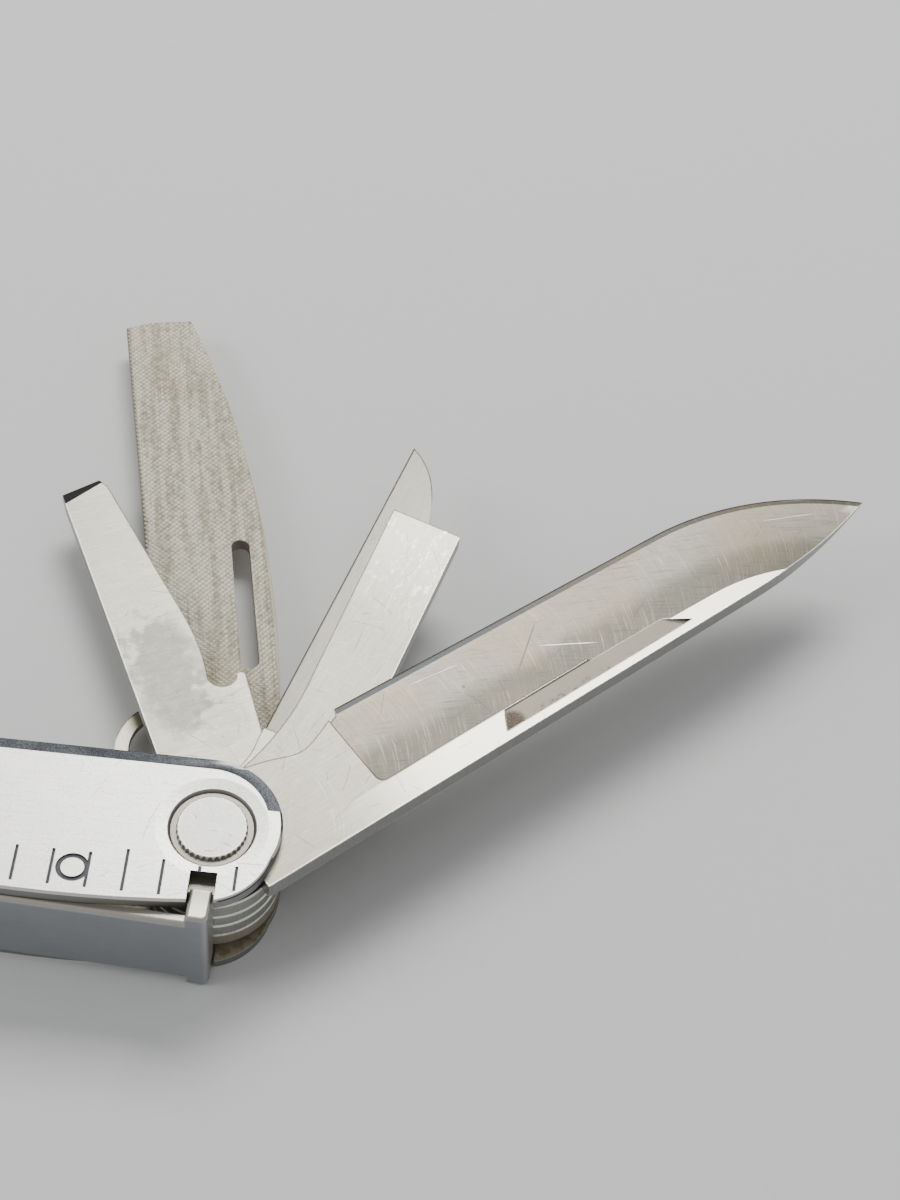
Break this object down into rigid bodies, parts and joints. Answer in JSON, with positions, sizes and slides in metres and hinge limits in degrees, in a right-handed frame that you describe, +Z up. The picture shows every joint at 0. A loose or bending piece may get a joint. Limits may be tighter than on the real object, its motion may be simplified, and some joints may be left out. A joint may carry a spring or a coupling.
{
  "type": "folding multi-tool knife",
  "caption": "Pocket multi-tool: clip-point knife, small blade, driver, cap lifter, file and lanyard ring fanned out of a steel channel handle",
  "frame": {"origin": "on the tools' pivot axis, at the outer face of the lower side wall, which is the plane the tool lies on", "axes": "+X along the handle towards the end where the tools pivot, +Y out of the channel's mouth, +Z up along the pivot axis"},
  "size_m": [0.1569, 0.0785, 0.0127],
  "materials": {
    "handle_steel": "bead-blasted stainless sheet, worn",
    "pivot_steel": "turned stainless, serrated rim",
    "spacer_steel": "turned stainless",
    "washer_bronze": "stamped thin bronze",
    "spring_steel": "satin spring steel",
    "blade_steel": "ground and scratched stainless",
    "tool_steel": "satin tumbled stainless",
    "file_steel": "cross-cut teeth, matt",
    "ring_steel": "stamped stainless"
  },
  "bodies": {
    "handle": {"handle_channel": "handle_steel", "pivot_barrel": "pivot_steel", "pivot_stud": "pivot_steel", "end_barrel": "pivot_steel", "end_stud": "pivot_steel", "end_spacer": "spacer_steel", "lock_spring_root": "spring_steel", "spring_rivets": "spring_steel", "pivot_washer_1": "washer_bronze", "pivot_washer_2": "washer_bronze", "pivot_washer_3": "washer_bronze", "pivot_washer_4": "washer_bronze", "pivot_washer_5": "washer_bronze"},
    "lock_spring": {"lock_spring": "spring_steel"},
    "knife": {"main_blade": "blade_steel"},
    "driver": {"flat_driver": "tool_steel"},
    "pen": {"pen_blade": "blade_steel"},
    "lifter": {"cap_lifter": "tool_steel"},
    "file": {"file_blade": "file_steel"},
    "ring": {"lanyard_ring": "ring_steel"}
  },
  "joints": [
    {"name": "knife_fold", "type": "hinge", "parent": "handle", "child": "knife", "pos_m": [0, 0, 0.00635], "axis": [0, 0, 1], "range_deg": [-41.2, 138.8]},
    {"name": "driver_fold", "type": "hinge", "parent": "handle", "child": "driver", "pos_m": [0, 0, 0.00635], "axis": [0, 0, 1], "range_deg": [-70, 110]},
    {"name": "pen_fold", "type": "hinge", "parent": "handle", "child": "pen", "pos_m": [0, 0, 0.00635], "axis": [0, 0, 1], "range_deg": [-72, 108]},
    {"name": "lifter_fold", "type": "hinge", "parent": "handle", "child": "lifter", "pos_m": [0, 0, 0.00635], "axis": [0, 0, 1], "range_deg": [-111, 69]},
    {"name": "file_fold", "type": "hinge", "parent": "handle", "child": "file", "pos_m": [0, 0, 0.00635], "axis": [0, 0, 1], "range_deg": [-101, 79]},
    {"name": "ring_fold", "type": "hinge", "parent": "handle", "child": "ring", "pos_m": [0, 0, 0.00635], "axis": [0, 0, 1], "range_deg": [-113, 67]},
    {"name": "lock_spring_flex", "type": "hinge", "parent": "handle", "child": "lock_spring", "pos_m": [-0.034, -0.0071, 0.00635], "axis": [0, 0, -1], "range_deg": [0, 1.2], "stiffness_Nm_per_rad": 0.5, "springref_deg": -2.86}
  ]
}
